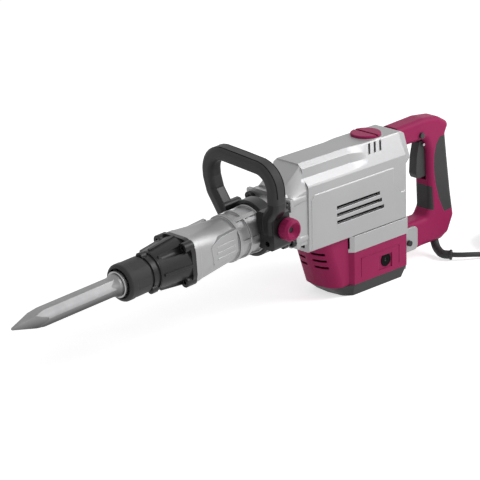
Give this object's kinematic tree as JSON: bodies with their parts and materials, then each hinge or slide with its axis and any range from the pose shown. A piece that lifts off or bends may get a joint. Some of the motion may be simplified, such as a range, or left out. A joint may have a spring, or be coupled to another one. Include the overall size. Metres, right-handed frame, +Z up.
{
  "type": "demolition hammer",
  "caption": "Electric demolition hammer with a hexagonal point chisel, loop side handle, D-shaped rear handle with trigger, rubber foot and mains cord.",
  "frame": {"origin": "centre of the flat underside of the rubber foot", "axes": "+X towards the rear handle, -X towards the chisel, -Y to the side of the clamp knob, +Z up"},
  "size_m": [1.1952, 0.3317, 0.3026],
  "materials": {
    "tool_steel": "satin forged and ground tool steel",
    "machined_steel": "turned and ground",
    "dark_steel": "black oxide",
    "core_steel": "laminated, varnished",
    "cast_alloy": "fine blasted die casting",
    "black_metal": "satin black coating",
    "magenta_plastic": "fine texture, semi-gloss",
    "black_plastic": "fine texture",
    "black_rubber": "matt",
    "cord_rubber": "smooth matt sheath",
    "copper": "varnished copper",
    "carbon": "pressed carbon"
  },
  "bodies": {
    "hammer": {"tool_holder": "machined_steel", "retainer_pin": "dark_steel", "retainer_housing": "black_metal", "retainer_bolts": "dark_steel", "bolt_guide": "machined_steel", "impact_damper": "black_rubber", "cylinder_tube": "machined_steel", "crank_bearing_top": "machined_steel", "crank_bearing_low": "machined_steel", "armature_bearing_top": "machined_steel", "armature_bearing_low": "machined_steel", "stator_core": "core_steel", "stator_windings": "copper", "brush_holders": "black_plastic", "carbon_brushes": "carbon", "brush_caps": "black_plastic", "barrel": "cast_alloy", "barrel_bolts": "dark_steel", "crank_housing": "cast_alloy", "gear_plate": "cast_alloy", "grease_cap": "magenta_plastic", "motor_cover": "magenta_plastic", "base_foot": "black_rubber", "rear_bracket": "cast_alloy", "rear_bracket_screws": "dark_steel", "handle_shell_near": "magenta_plastic", "handle_shell_far": "magenta_plastic", "rear_grip_pad": "black_rubber", "front_grip_pad": "black_rubber", "handle_screws": "dark_steel", "bracket_bolt": "dark_steel", "trigger_pin": "machined_steel", "switch_body": "black_plastic", "cord_boot": "black_rubber", "power_cord": "cord_rubber", "cord_coil": "cord_rubber", "cord_tie": "black_plastic", "cord_plug": "black_plastic"},
    "tool": {"chisel": "tool_steel"},
    "striker": {"impact_bolt": "machined_steel"},
    "sleeve": {"release_sleeve": "black_rubber"},
    "striking_piston": {"ram": "machined_steel", "ram_seal": "black_rubber"},
    "drive_piston": {"piston": "cast_alloy", "piston_seal": "black_rubber", "wrist_pin": "machined_steel"},
    "rod": {"connecting_rod": "machined_steel", "crank_pin": "machined_steel"},
    "crank": {"crankshaft": "machined_steel", "crank_gear": "machined_steel"},
    "rotor": {"armature": "core_steel", "armature_fan": "black_plastic", "commutator": "copper"},
    "side_handle": {"side_handle_frame": "black_metal", "side_handle_grip": "black_rubber", "handle_clamp_strap": "dark_steel", "clamp_bolt": "dark_steel"},
    "knob": {"clamp_knob": "magenta_plastic"},
    "trigger": {"trigger": "black_plastic"},
    "lock": {"lock_button": "black_plastic"}
  },
  "joints": [
    {"name": "tool_idle_slide", "type": "slide", "parent": "hammer", "child": "tool", "axis": [-0.9984, 0, -0.0558], "range_m": [0, 0.018]},
    {"name": "impact_bolt_slide", "type": "slide", "parent": "hammer", "child": "striker", "axis": [-0.9984, 0, -0.0558], "range_m": [0, 0.018]},
    {"name": "sleeve_turn", "type": "hinge", "parent": "hammer", "child": "sleeve", "pos_m": [-0.533, 0, 0.148], "axis": [0.9984, 0, 0.0558], "range_deg": [0, 60]},
    {"name": "striking_piston_slide", "type": "slide", "parent": "hammer", "child": "striking_piston", "axis": [0.9984, 0, 0.0558], "range_m": [-0.018, 0.07]},
    {"name": "drive_piston_slide", "type": "slide", "parent": "hammer", "child": "drive_piston", "axis": [0.9984, 0, 0.0558], "range_m": [0, 0.036]},
    {"name": "rod_swing", "type": "hinge", "parent": "drive_piston", "child": "rod", "pos_m": [-0.13742, 0, 0.17012], "axis": [-0.0558, 0, 0.9984], "range_deg": [-9, 9]},
    {"name": "crank_spin", "type": "hinge", "parent": "hammer", "child": "crank", "pos_m": [-0.00962, 0, 0.17726], "axis": [-0.0558, 0, 0.9984], "continuous": true},
    {"name": "armature_spin", "type": "hinge", "parent": "hammer", "child": "rotor", "pos_m": [0.03531, 0, 0.17977], "axis": [-0.0558, 0, 0.9984], "continuous": true},
    {"name": "side_handle_turn", "type": "hinge", "parent": "hammer", "child": "side_handle", "pos_m": [-0.21949, 0, 0.16553], "axis": [0.9984, 0, 0.0558], "continuous": true},
    {"name": "knob_turn", "type": "hinge", "parent": "side_handle", "child": "knob", "pos_m": [-0.22626, -0.083, 0.17917], "axis": [0, -1, 0], "continuous": true},
    {"name": "trigger_pull", "type": "hinge", "parent": "hammer", "child": "trigger", "pos_m": [0.178, 0, 0.212], "axis": [0, -1, 0], "range_deg": [0, 7], "stiffness_Nm_per_rad": 2, "springref_deg": -6.88},
    {"name": "lock_press", "type": "slide", "parent": "hammer", "child": "lock", "axis": [0, 1, 0], "range_m": [0, 0.003], "stiffness_N_per_m": 800, "springref_m": -0.003}
  ],
  "couplings": [
    {"joint": "impact_bolt_slide", "follows": "tool_idle_slide", "ratio": 1},
    {"joint": "armature_spin", "follows": "crank_spin", "ratio": -5.5455}
  ]
}
